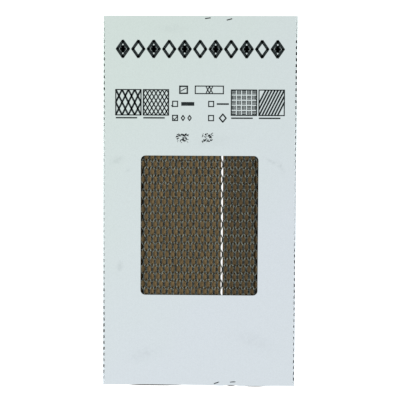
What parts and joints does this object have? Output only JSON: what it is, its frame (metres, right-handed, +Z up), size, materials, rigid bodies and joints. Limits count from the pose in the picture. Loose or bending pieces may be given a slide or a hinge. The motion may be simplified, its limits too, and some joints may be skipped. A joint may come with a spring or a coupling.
{
  "type": "expanded metal sheet in a card sleeve",
  "caption": "Raised expanded steel sheet sold flat in a stapled corrugated card sleeve, with a round-cornered window that shows the diamond mesh.",
  "frame": {"origin": "middle of the underside of the pack, on the back flaps", "axes": "+Z up out of the window, +Y along the pack towards its top end, +X across it"},
  "size_m": [0.4152, 0.794, 0.0128],
  "materials": {
    "white_lined_board": "white-lined corrugated board, brown inside",
    "mill_steel": "bare mill finish, oiled",
    "staple_wire": "drawn steel wire"
  },
  "bodies": {
    "root": {"carton_sleeve": "white_lined_board", "expanded_sheet_1": "mill_steel", "expanded_sheet_2": "mill_steel", "expanded_sheet_3": "mill_steel", "expanded_sheet_4": "mill_steel", "staple_1": "staple_wire", "staple_2": "staple_wire", "staple_3": "staple_wire", "staple_4": "staple_wire"}
  },
  "joints": []
}
